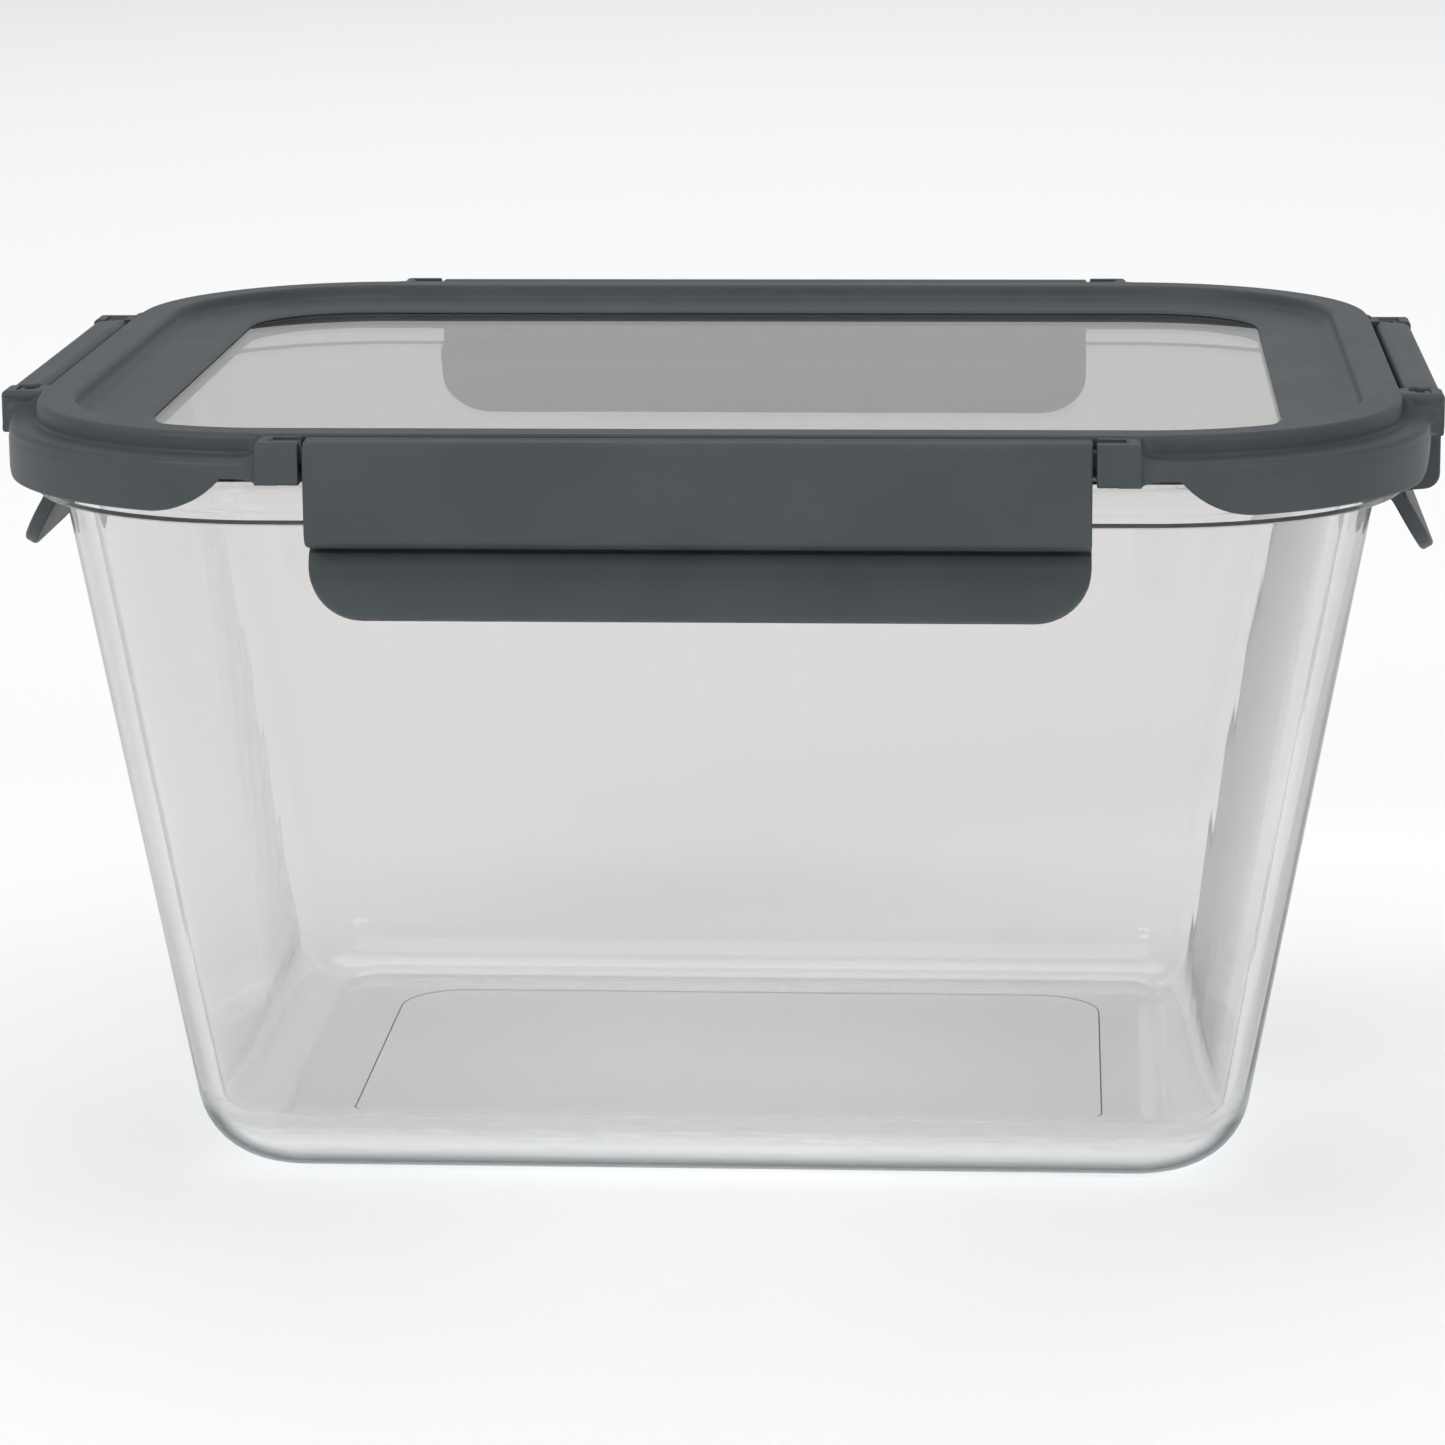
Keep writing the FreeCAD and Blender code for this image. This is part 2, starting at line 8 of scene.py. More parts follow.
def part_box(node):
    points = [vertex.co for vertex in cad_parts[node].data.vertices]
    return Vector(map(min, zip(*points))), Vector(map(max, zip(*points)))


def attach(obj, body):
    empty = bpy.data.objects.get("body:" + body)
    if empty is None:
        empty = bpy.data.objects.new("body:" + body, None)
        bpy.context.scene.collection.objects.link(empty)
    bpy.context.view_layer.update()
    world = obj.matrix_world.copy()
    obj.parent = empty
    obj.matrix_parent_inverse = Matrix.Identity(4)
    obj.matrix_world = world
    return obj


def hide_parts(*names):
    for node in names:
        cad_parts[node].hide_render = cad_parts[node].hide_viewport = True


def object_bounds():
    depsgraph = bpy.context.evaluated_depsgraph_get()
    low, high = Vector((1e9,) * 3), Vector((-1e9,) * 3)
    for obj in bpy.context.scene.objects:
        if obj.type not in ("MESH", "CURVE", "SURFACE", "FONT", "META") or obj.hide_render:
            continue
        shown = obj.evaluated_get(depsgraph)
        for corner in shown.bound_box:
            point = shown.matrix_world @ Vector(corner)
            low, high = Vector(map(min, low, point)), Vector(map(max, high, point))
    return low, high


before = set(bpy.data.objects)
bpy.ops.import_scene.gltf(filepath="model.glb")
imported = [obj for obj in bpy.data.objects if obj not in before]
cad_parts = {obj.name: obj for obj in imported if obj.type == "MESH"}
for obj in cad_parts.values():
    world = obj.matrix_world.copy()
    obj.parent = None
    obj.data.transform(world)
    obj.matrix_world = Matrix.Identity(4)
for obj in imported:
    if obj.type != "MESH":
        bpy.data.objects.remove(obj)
cad_low, cad_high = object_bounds()

# Sizes and places below are in millimetres; meshes are made in metres.
# Every outline in plan is a rounded rectangle parallel to the envelope of the lid. An "offset" is a
# distance inwards from that envelope, and a "drop" is a distance down from the top of the lid.
MM = 0.001
TOP = cad_high.z / MM
HALF_X = cad_high.x / MM
HALF_Y = cad_high.y / MM
ENVELOPE_RADIUS = 50.0


def drop_of(node, upper):
    """Drop of the highest (or lowest) point of a CAD node."""
    low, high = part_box(node)
    return TOP - (high.z if upper else low.z) / MM


# ---------------------------------------------------------------- sections and outlines

def corner_arc(before, corner, after, radius, steps):
    """steps + 1 points of the arc that rounds one corner of a section."""
    back, ahead = before - corner, after - corner
    if radius <= 0 or back.length < 1e-6 or ahead.length < 1e-6:
        return [corner] * (steps + 1)
    opening = back.angle(ahead)
    if opening > math.pi - 1e-4:
        return [corner] * (steps + 1)
    reach = min(radius / math.tan(opening / 2), back.length * 0.499, ahead.length * 0.499)
    radius = reach * math.tan(opening / 2)
    back, ahead = back.normalized(), ahead.normalized()
    centre = corner + (back + ahead).normalized() * radius / math.sin(opening / 2)
    first = corner + back * reach - centre
    last = corner + ahead * reach - centre
    turn = math.pi - opening
    if first.x * last.y - first.y * last.x < 0:
        turn = -turn
    points = []
    for step in range(steps + 1):
        angle = turn * step / steps
        sine, cosine = math.sin(angle), math.cos(angle)
        points.append(centre + Vector((first.x * cosine - first.y * sine,
                                       first.x * sine + first.y * cosine)))
    return points


def rounded(corners, closed=True, steps=5):
    """A section whose corners are (x, y, radius), each rounded by an arc of the same step count."""
    places = [Vector(corner[:2]) for corner in corners]
    section = []
    for index, corner in enumerate(corners):
        if not closed and index in (0, len(corners) - 1):
            section.append(places[index])
            continue
        following = places[(index + 1) % len(places)]
        section += corner_arc(places[index - 1], places[index], following, corner[2], steps)
    return section


def inset(section, amount):
    """The closed section with every point moved inwards along its normal."""
    if amount <= 0:
        return section
    area = sum(a.x * b.y - b.x * a.y for a, b in zip(section, section[1:] + section[:1]))
    side = 1 if area > 0 else -1
    count = len(section)
    moved = []
    for index, point in enumerate(section):
        back, ahead = index - 1, (index + 1) % count
        while (section[back] - point).length < 1e-6:
            back -= 1
        while (section[ahead] - point).length < 1e-6:
            ahead = (ahead + 1) % count
        into = (point - section[back]).normalized()
        out = (section[ahead] - point).normalized()
        along = (into + out).normalized()
        moved.append(point + Vector((-along.y, along.x)) * side * amount)
    return moved


def outline_at(offset):
    """Half width, half depth and corner radius of the outline at an offset."""
    window_side = offset > 20
    radius = ENVELOPE_RADIUS - offset - (3.0 if window_side else 0.0)
    return HALF_X - offset, HALF_Y - offset, radius


# ---------------------------------------------------------------- meshes

def quarter_stations(corner_steps, front=(("front", 0.0),), side=(("side", 0.0),), extra=()):
    """Stations of the front right quarter, from the middle of the front to the middle of the side."""
    even = {90.0 * step / corner_steps for step in range(corner_steps + 1)}
    corner = [("corner", angle) for angle in sorted(even | set(extra))]
    return list(front) + corner + list(side)


def plan_point(outline, station):
    """Point of an outline in the front right quarter at a station."""
    half_x, half_y, radius = outline
    place, number = station[:2]
    if place == "front":
        return number, -half_y
    if place == "side":
        return half_x, -number
    angle = math.radians(number)
    return (half_x - radius + radius * math.sin(angle),
            -(half_y - radius) - radius * math.cos(angle))


def ring_of(quarter):
    """All stations round the container, with the signs that mirror the front right quarter."""
    ring = [(station, 1, 1) for station in quarter[:-1]]
    ring += [(station, 1, -1) for station in quarter[:0:-1]]
    ring += [(station, -1, -1) for station in quarter[:-1]]
    ring += [(station, -1, 1) for station in quarter[:0:-1]]
    return ring


def ring_vertices(mesh, quarter, sections):
    """Rows of vertices: one row for each station, one vertex for each (outline, height) in it."""
    rows = []
    for station, sign_x, sign_y in ring_of(quarter):
        row = []
        for outline, height in sections(station):
            x, y = plan_point(outline, station)
            row.append(mesh.verts.new(Vector((x * sign_x, y * sign_y, height)) * MM))
        rows.append(row)
    return rows


def bridge(mesh, first, second, closed):
    count = len(first)
    for index in range(count if closed else count - 1):
        following = (index + 1) % count
        corners = (first[index], first[following], second[following], second[index])
        mesh.faces.new(corners)


def cap_ring(mesh, loop):
    """Fills a ring of vertices with strips that join its right half to its left half."""
    count = len(loop)
    for index in range(count // 2):
        corners = []
        for place in (index, index + 1, -(index + 1) % count, -index % count):
            if loop[place] not in corners:
                corners.append(loop[place])
        mesh.faces.new(corners)


def finished(mesh, name, sharp_angle=35.0):
    """Object of a bmesh, cleaned, with smooth faces and normals that follow its large faces."""
    bmesh.ops.remove_doubles(mesh, verts=mesh.verts, dist=2e-7)
    bmesh.ops.dissolve_degenerate(mesh, edges=mesh.edges, dist=2e-7)
    bmesh.ops.recalc_face_normals(mesh, faces=mesh.faces)
    data = bpy.data.meshes.new(name)
    mesh.to_mesh(data)
    mesh.free()
    piece = bpy.data.objects.new(name, data)
    bpy.context.scene.collection.objects.link(piece)
    set_normals(piece, sharp_angle)
    return piece


def set_normals(piece, sharp_angle):
    for polygon in piece.data.polygons:
        polygon.use_smooth = True
    piece.data.set_sharp_from_angle(angle=math.radians(sharp_angle))
    weighted = piece.modifiers.new("normals", "WEIGHTED_NORMAL")
    weighted.keep_sharp = True
    weighted.weight = 60


def ring_piece(name, quarter, sections):
    """A closed tube that runs round the container."""
    mesh = bmesh.new()
    rows = ring_vertices(mesh, quarter, sections)
    for index, row in enumerate(rows):
        bridge(mesh, row, rows[(index + 1) % len(rows)], closed=True)
    return finished(mesh, name)


def tub_piece(name, quarter, levels):
    """A solid made of rings, one level above another, closed at its first and last ring."""
    mesh = bmesh.new()
    rows = ring_vertices(mesh, quarter, lambda station: levels)
    for index, row in enumerate(rows):
        bridge(mesh, row, rows[(index + 1) % len(rows)], closed=False)
    for end in (0, -1):
        cap_ring(mesh, [row[end] for row in rows])
    return finished(mesh, name)


def extruded(mesh, section_at, stations, place):
    """A bar along X: section_at(x) gives its (y, z) section; place maps points to the object."""
    rows = []
    for x in stations:
        rows.append([mesh.verts.new(place(x, point.x, point.y) * MM) for point in section_at(x)])
    for first, second in zip(rows, rows[1:]):
        bridge(mesh, first, second, closed=True)
    mesh.faces.new(rows[0])
    mesh.faces.new(rows[-1])


def end_stations(half, radius, steps=5, extra=()):
    """Stations of a bar whose ends are rounded, from -half to half."""
    rounding = [half - radius * (1 - math.sin(math.pi / 2 * step / steps))
                for step in range(steps + 1)]
    right = sorted(set(rounding) | set(extra))
    return [-x for x in reversed(right)] + right


def end_inset(x, half, radius):
    """How far a section shrinks near a rounded end."""
    reach = max(0.0, abs(x) - (half - radius))
    return radius - math.sqrt(max(0.0, radius * radius - reach * reach))


def combine(piece, other, operation):
    """Boolean of two pieces, applied; the second piece is removed."""
    modifier = piece.modifiers.new("join", "BOOLEAN")
    modifier.operation = operation
    modifier.solver = "MANIFOLD"
    modifier.object = other
    graph = bpy.context.evaluated_depsgraph_get()
    result = bpy.data.meshes.new_from_object(piece.evaluated_get(graph))
    piece.modifiers.clear()
    piece.data = result
    bpy.data.objects.remove(other)


# ---------------------------------------------------------------- glass body

WALL = 4.1
DRAFT = math.tan(math.radians(10.4))


def make_glass_body():
    """Drafted tub with a thick rim flange and a shallow recess under its floor."""
    rim_drop = drop_of("glass_body", True)
    rim_bottom = rim_drop + 7.2
    rim_offset = 6.7
    wall_offset = 11.1
    floor = 5.0
    recess = 0.25
    parting = TOP - rim_bottom + 2.2

    def wall_at(height):
        return wall_offset + (TOP - rim_bottom - height) * DRAFT

    outer = rounded([
        (55.0, 0.0, 0),
        (wall_at(0.0), 0.0, 14.0),
        (wall_offset, TOP - rim_bottom + 0.55, 0.4),
        (rim_offset, TOP - rim_bottom, 0.35),
        (rim_offset, parting - 0.35, 0.0),
        (rim_offset - 0.12, parting, 0.1),
        (rim_offset, parting + 0.35, 0.0),
        (rim_offset, TOP - rim_drop, 2.2),
        (wall_at(TOP - rim_drop) + WALL, TOP - rim_drop, 1.3),
        (wall_at(floor) + WALL, floor, 10.5),
        (60.0, floor, 0),
    ], closed=False, steps=10)
    foot_x, foot_y, foot_radius, slope = 65.0, 44.0, 12.0, 0.3
    levels = [((30.0, 15.0, 5.0), recess)]
    for step in range(6, -1, -1):
        inward = slope * step / 6
        rise = recess * (1 - math.cos(math.pi * step / 6)) / 2
        levels.append(((foot_x - inward, foot_y - inward, foot_radius - inward), rise))
    foot_ring = 47.5
    levels.append(((HALF_X - foot_ring, HALF_Y - foot_ring, 6.0), 0.0))
    for point in outer[1:-1]:
        offset = point.x
        radius = max(ENVELOPE_RADIUS - offset, 2.5)
        levels.append(((HALF_X - offset, HALF_Y - offset, radius), point.y))
    levels.append(((30.0, 15.0, 2.5), floor))
    return tub_piece("glass_tub", quarter_stations(26), levels)


# ---------------------------------------------------------------- lid frame

SIDES = {
    # name: (lug span between inner faces, station place, straight half length, turn about Z)
    "long": (125.1, "front", HALF_X - ENVELOPE_RADIUS, (0.0, 180.0)),
    "short": (77.6, "side", HALF_Y - ENVELOPE_RADIUS, (90.0, -90.0)),
}
LUG = 6.95
SKIRT_OFFSET = 2.6
SKIRT_INNER = 5.4
RING_OFFSET = 7.2
WEB_TOP = 3.5
WEB_BOTTOM = 6.6
BOSS_BOTTOM = 9.2
FLARE = 3.8
LUG_BOTTOM = 7.3
LUG_DEPTH = 8.2
LUG_TOP = 0.3
SCALLOP_REACH = 18.5
SCALLOP_RADIUS = 16.0


def along_side(station, side):
    """Distance of a station's skirt point from the middle of a side."""
    x, y = plan_point(outline_at(SKIRT_OFFSET), station)
    return x if side == "long" else -y


def skirt_shape(station):
    """Whether the skirt is there at a station, its bottom drop, and its flare (0 to 1) to a lug."""
    skirt_bottom = drop_of("lid_frame", False)
    bottom, flare, there = skirt_bottom, 0.0, True
    for side, (span, place, _, _) in SIDES.items():
        if station[0] not in (place, "corner"):
            continue
        lug_face = span / 2 + LUG
        beyond = along_side(station, side) - lug_face
        if station[0] == place and len(station) > 2:
            there = station[2]
        elif beyond < -LUG / 2:
            there = False
        if beyond < SCALLOP_REACH:
            across = SCALLOP_REACH - beyond
            rise = SCALLOP_RADIUS - math.sqrt(max(0.0, SCALLOP_RADIUS ** 2 - across ** 2))
            if across >= SCALLOP_RADIUS:
                rise = SCALLOP_RADIUS
            bottom = max(WEB_BOTTOM, min(bottom, skirt_bottom - rise))
        if beyond < FLARE:
            near = 1 - max(beyond, 0.0) / FLARE
            flare = max(flare, 1 - math.sqrt(1 - near ** 2))
    return there, bottom, flare


def frame_section(station):
    """Closed section of the lid frame at a station."""
    there, bottom, flare = skirt_shape(station)
    window_top = drop_of("lid_window", True)
    window_bottom = drop_of("lid_window", False)
    seal_top = drop_of("seal_ring", True)
    if there:
        wall = RING_OFFSET - flare * 2.4
        web_top = WEB_TOP - flare * 1.5
        web_face = SKIRT_OFFSET - flare * 2.35
        under = bottom + flare * (LUG_BOTTOM - 0.1 - WEB_BOTTOM)
        lip = min(0.45, (under - WEB_BOTTOM) / 2)
        line_drop = min(6.0, under - 0.3)
        skirt = [
            (wall, web_top, 0.7),
            (web_face, web_top, 2.3),
            (web_face, line_drop - 0.25, 0.0),
            (web_face - 0.12, line_drop, 0.0),
            (web_face - 0.12, under, 0.5),
            (SKIRT_INNER, under, lip),
            (SKIRT_INNER, WEB_BOTTOM, lip),
        ]
    else:
        corner = (RING_OFFSET, WEB_BOTTOM)
        skirt = [(RING_OFFSET, WEB_TOP, 0.0)] + [(*corner, 0.0)] * 6
    corners = [
        (27.0, window_top, 0.0),
        (27.0, 3.25, 0.15),
        (26.0, 2.93, 0.8),
        (14.3, 2.25, 1.6),
        (13.5, 0.0, 1.0),
        (RING_OFFSET, 0.0, 1.0 if there else 0.5),
    ] + skirt + [
        (8.6, WEB_BOTTOM, 0.2),
        (8.6, seal_top, 0.0),
        (13.6, seal_top, 0.0),
        (13.6, WEB_BOTTOM, 0.2),
        (16.0, WEB_BOTTOM, 0.4),
        (16.0, BOSS_BOTTOM, 0.7),
        (27.0, BOSS_BOTTOM, 0.7),
        (27.0, window_bottom, 0.0),
        (23.0, window_bottom, 0.0),
        (23.0, window_top, 0.0),
    ]
    return [(outline_at(point.x), TOP - point.y) for point in rounded(corners)]


def frame_quarter():
    """Stations of the lid frame: close together at the lugs and along the scallops."""
    flare_steps = [FLARE * (step / 12) ** 1.6 for step in range(13)]
    straight = {}
    for side, (span, place, straight_half, _) in SIDES.items():
        inside = span / 2 + LUG / 2
        face = span / 2 + LUG
        run = [(place, 0.0), (place, span / 2 - 4), (place, inside, False), (place, inside, True)]
        run += [(place, face + step) for step in flare_steps if face + step < straight_half]
        straight[side] = run
    skirt_radius = ENVELOPE_RADIUS - SKIRT_OFFSET
    extra = set()
    for side, (span, _, straight_half, _) in SIDES.items():
        face = span / 2 + LUG
        for step in flare_steps + [4.0, 5.2, 5.9, 6.1, 6.3, 6.8]:
            reach = face + step - straight_half
            if reach > 0.02:
                angle = math.degrees(math.asin(reach / skirt_radius))
                extra.add(angle if side == "long" else 90.0 - angle)
    return quarter_stations(60, straight["long"], straight["short"][::-1], extra)


def lug_transform(turn, outside):
    """Maps side coordinates (along, offset, drop) to the object for the side at a turn about Z."""
    rotation = Matrix.Rotation(math.radians(turn), 3, "Z")
    return lambda along, offset, drop: rotation @ Vector((along, offset - outside, TOP - drop))


def add_lugs(mesh, place, span):
    """Two blocks with rounded outer edges, at the ends of a latch bay."""
    section = rounded([(0.0, LUG_TOP, 0.8), (0.0, LUG_BOTTOM, 1.5),
                       (LUG_DEPTH, LUG_BOTTOM, 0.0), (LUG_DEPTH, LUG_TOP, 0.0)])
    half, latch_edge, far_edge = LUG / 2, 0.3, 0.9
    stations = end_stations(half, latch_edge)[:6] + end_stations(half, far_edge)[6:]
    for sign in (-1, 1):

        def section_at(x):
            shrink = end_inset(x, half, latch_edge if x < 0 else far_edge)
            return [Vector((min(p.x, LUG_DEPTH), p.y)) for p in inset(section, shrink)]

        extruded(mesh, section_at, stations,
                 lambda x, o, d: place(sign * (span / 2 + half + x), o, d))


def add_lug_sockets(mesh, place, span):
    """Round sockets for the latch pins, in the inner face of each lug."""
    hinge_offset, hinge_drop, socket = 3.75, 3.1, 1.56
    for sign in (-1, 1):
        circle = [Vector((hinge_offset + socket * math.cos(math.radians(a)),
                          hinge_drop + socket * math.sin(math.radians(a))))
                  for a in range(0, 360, 10)]
        start, end = sign * (span / 2 - 0.5), sign * (span / 2 + 4.1)
        extruded(mesh, lambda x: circle, (start, end), place)


def cut_block(mesh, place, span, front, back, reach, slant, floor):
    """Block over each lug's top, open to the latch, whose far end slants in plan."""
    for sign in (-1, 1):
        rows = []
        for drop in (-0.5, floor):
            ends = [(-0.5, front), (reach, front), (reach - slant, back), (-0.5, back)]
            rows.append([mesh.verts.new(place(sign * (span / 2 + along), offset, drop) * MM)
                         for along, offset in ends])
        bridge(mesh, rows[0], rows[1], closed=True)
        mesh.faces.new(rows[0])
        mesh.faces.new(rows[1])


def add_lug_steps(mesh, place, span):
    cut_block(mesh, place, span, front=2.1, back=5.7, reach=5.3, slant=0.8, floor=0.75)


def add_lug_slots(mesh, place, span):
    cut_block(mesh, place, span, front=3.0, back=4.6, reach=4.4, slant=0.0, floor=1.5)


def lug_tool(add):
    """One object that holds a shape at every lug of all four sides."""
    mesh = bmesh.new()
    for side, (span, _, _, turns) in SIDES.items():
        for turn in turns:
            outside = HALF_Y if side == "long" else HALF_X
            add(mesh, lug_transform(turn, outside), span)
    return finished(mesh, add.__name__)


def make_lid_frame():
    piece = ring_piece("lid_surround", frame_quarter(), frame_section)
    combine(piece, lug_tool(add_lugs), "UNION")
    for add in (add_lug_steps, add_lug_slots, add_lug_sockets):
        combine(piece, lug_tool(add), "DIFFERENCE")
    set_normals(piece, 35.0)
    return piece


def make_lid_window():
    """Clear panel with polished, slightly rounded edges."""
    top, bottom = TOP - drop_of("lid_window", True), TOP - drop_of("lid_window", False)
    edge = [(23.0, bottom, 0.3), (23.0, top, 0.3)]
    section = rounded([(40.0, bottom, 0)] + edge + [(40.0, top, 0)], closed=False)
    levels = [(outline_at(point.x), point.y) for point in section[1:-1]]
    return tub_piece("window_panel", quarter_stations(26), levels)


def make_seal_ring():
    """Gasket with two low ribs on the face that bears on the glass."""
    top, bottom = TOP - drop_of("seal_ring", True), TOP - drop_of("seal_ring", False)
    section = rounded([
        (8.6, bottom + 0.5, 0.3),
        (8.6, top, 0.3),
        (13.6, top, 0.3),
        (13.6, bottom + 0.5, 0.3),
        (12.9, bottom, 0.5),
        (11.9, bottom, 0.4),
        (11.1, bottom + 0.5, 0.4),
        (10.3, bottom, 0.4),
        (9.3, bottom, 0.5),
    ])
    levels = [(outline_at(point.x), point.y) for point in section]
    return ring_piece("seal_gasket", quarter_stations(26), lambda station: levels)


# ---------------------------------------------------------------- latches

HINGE_OFFSET = 3.75
HINGE_DROP = 3.1
TAB_ANGLE = math.radians(30)


def latch_section(shrink, tab_loss):
    """Closed (y, z) section of a latch about its hinge axis, y negative towards the outside."""
    face, back = -HINGE_OFFSET, -0.95
    knuckle = HINGE_DROP - drop_of("latch_front", True)
    root, tip, thick = 15.3, 25.0 - tab_loss, 2.4
    lean_in, lean_down = thick * math.cos(TAB_ANGLE), thick * math.sin(TAB_ANGLE)
    tip_y = 1.9 - (tip - root) * math.tan(TAB_ANGLE)
    corners = [
        (0.0, knuckle, 0.0),
        (face, knuckle, 2.6),
        (face, -14.1, 3.2),
        (1.1, -14.5, 0.3),
        (2.5, -14.7, 0.2),
        (2.5, -15.2, 0.2),
        (1.6, -15.7, 0.3),
        (tip_y, -tip, 0.7),
        (tip_y + lean_in, -(tip + lean_down), 0.7),
        (1.9 + lean_in, -(root + lean_down), 2.0),
        (5.85, -14.6, 0.5),
        (5.85, -13.0, 0.5),
        (5.15, -12.1, 0.5),
        (back, -12.1, 0.9),
    ]
    meet = -math.sqrt(knuckle ** 2 - back ** 2)
    section = rounded(corners + [(back, meet, 0.0)])
    section = section[5:-6]
    start = math.atan2(meet, back)
    for step in range(33):
        angle = start + (math.pi / 2 - start) * step / 32
        swell = max(0.0, 1 - ((angle - math.radians(50)) / math.radians(40)) ** 2)
        radius = knuckle + 0.55 * swell ** 1.5
        section.append(Vector((radius * math.cos(angle), radius * math.sin(angle))))
    return inset(section, shrink)


def make_latch(name, span, turn, outside):
    """Flap latch with a rounded tab, a full-length catch and stub pins."""
    mesh = bmesh.new()
    half, edge, tab_radius = span / 2 - 0.65, 0.45, 9.0
    tab_steps = [half - tab_radius * (1 - math.sin(math.radians(angle)))
                 for angle in range(0, 85, 7)]
    rotation = Matrix.Rotation(math.radians(turn), 3, "Z")
    axis = Vector((0.0, HINGE_OFFSET - outside, TOP - HINGE_DROP))

    def section_at(x):
        reach = max(0.0, abs(x) - (half - tab_radius))
        loss = tab_radius - math.sqrt(max(0.0, tab_radius ** 2 - reach ** 2))
        loss = min(loss, tab_radius - 0.6) * math.cos(TAB_ANGLE)
        return latch_section(end_inset(x, half, edge), loss)

    def place(x, y, z):
        return rotation @ (axis + Vector((x, y, z)))

    extruded(mesh, section_at, end_stations(half, edge, extra=tab_steps), place)
    piece = finished(mesh, name)

    pins = bmesh.new()
    pin_length = span / 2 + 3.6
    circle = [Vector((1.5 * math.cos(math.radians(a)), 1.5 * math.sin(math.radians(a))))
              for a in range(0, 360, 10)]
    extruded(pins, lambda x: inset(circle, end_inset(x, pin_length, 0.4)),
             end_stations(pin_length, 0.4), place)
    combine(piece, finished(pins, "pins"), "UNION")
    set_normals(piece, 35.0)
    return piece


# ---------------------------------------------------------------- materials

def new_material(name):
    material = bpy.data.materials.new(name)
    material.use_nodes = True
    material.node_tree.nodes.clear()
    return material, material.node_tree.nodes, material.node_tree.links


def noise(nodes, links, scale, detail=3.0, roughness=0.5):
    """Noise texture in object space, with a scale in features per metre."""
    place = nodes.new("ShaderNodeTexCoord")
    texture = nodes.new("ShaderNodeTexNoise")
    texture.inputs["Scale"].default_value = scale
    texture.inputs["Detail"].default_value = detail
    texture.inputs["Roughness"].default_value = roughness
    links.new(place.outputs["Object"], texture.inputs["Vector"])
    return texture.outputs["Fac"]


def spread(nodes, links, value, low, high, start=0.3, end=0.7):
    """Maps a value that runs from start to end onto low to high."""
    mapping = nodes.new("ShaderNodeMapRange")
    mapping.inputs["From Min"].default_value = start
    mapping.inputs["From Max"].default_value = end
    mapping.inputs["To Min"].default_value = low
    mapping.inputs["To Max"].default_value = high
    links.new(value, mapping.inputs["Value"])
    return mapping.outputs["Result"]


def arithmetic(nodes, links, operation, first, second):
    """One value from two, by the named operation."""
    node = nodes.new("ShaderNodeMath")
    node.operation = operation
    links.new(first, node.inputs[0])
    links.new(second, node.inputs[1])
    return node.outputs["Value"]


def blend_colours(nodes, links, factor, first, second):
    mix = nodes.new("ShaderNodeMix")
    mix.data_type = "RGBA"
    links.new(factor, mix.inputs["Factor"])
    for socket, colour in (("A", first), ("B", second)):
        target = next(i for i in mix.inputs if i.name == socket and i.type == "RGBA")
        if isinstance(colour, tuple):
            target.default_value = (*colour, 1.0)
        else:
            links.new(colour, target)
    return next(o for o in mix.outputs if o.type == "RGBA")


def bump(nodes, links, height, strength, distance):
    """Normal of a surface that is raised by up to distance metres where height is 1."""
    node = nodes.new("ShaderNodeBump")
    node.inputs["Strength"].default_value = strength
    node.inputs["Distance"].default_value = distance
    links.new(height, node.inputs["Height"])
    return node.outputs["Normal"]


def principled(nodes, colour, roughness):
    """A plain shader of one colour, to be mixed with others."""
    shader = nodes.new("ShaderNodeBsdfPrincipled")
    shader.inputs["Base Color"].default_value = (*colour, 1.0)
    shader.inputs["Roughness"].default_value = roughness
    return shader.outputs[0]


def mix_shaders(nodes, links, factor, first, second):
    mix = nodes.new("ShaderNodeMixShader")
    links.new(factor, mix.inputs["Fac"])
    links.new(first, mix.inputs[1])
    links.new(second, mix.inputs[2])
    return mix.outputs[0]


def height_of(nodes, links, place, output):
    """Upward component of the object's coordinates or of its normal."""
    split = nodes.new("ShaderNodeSeparateXYZ")
    links.new(place.outputs[output], split.inputs["Vector"])
    return split.outputs["Z"]


def moulded_plastic():
    """Dark slate polypropylene: fine spark texture, faint clouding, a few pale specks."""
    material, nodes, links = new_material("slate_polypropylene")
    shader = nodes.new("ShaderNodeBsdfPrincipled")
    out = nodes.new("ShaderNodeOutputMaterial")
    links.new(shader.outputs[0], out.inputs["Surface"])
    clouds = spread(nodes, links, noise(nodes, links, 55.0, 4.0), 0.0, 1.0)
    base = blend_colours(nodes, links, clouds, (0.050, 0.060, 0.066), (0.060, 0.071, 0.076))
    specks = spread(nodes, links, noise(nodes, links, 900.0, 2.0), 0.0, 0.35, 0.80, 0.86)
    links.new(blend_colours(nodes, links, specks, base, (0.30, 0.33, 0.34)),
              shader.inputs["Base Color"])
    grain = noise(nodes, links, 5200.0, 2.0)
    links.new(spread(nodes, links, clouds, 0.44, 0.54, 0.0, 1.0), shader.inputs["Roughness"])
    links.new(bump(nodes, links, grain, 0.35, 0.00004), shader.inputs["Normal"])
    shader.inputs["Specular IOR Level"].default_value = 0.34
    return material


# Painted shade: dark teal mixed into the glass colour where the glass is seen at a grazing angle.
PAINTED_EDGE_TINT = (0.10, 0.18, 0.20)
# Painted shade: near-black mixed in along glass outlines, under the rim flange and round the heel.
PAINTED_EDGE_SHADE = (0.02, 0.04, 0.055)
# Painted light: a pale shader on the rounded underside of the glass foot.
PAINTED_FOOT_LIGHT = (0.97, 0.975, 0.975)
SHADOW_TINT = (0.992, 0.994, 0.994)
DEPTH_TINT = (0.05, 0.25, 0.28)


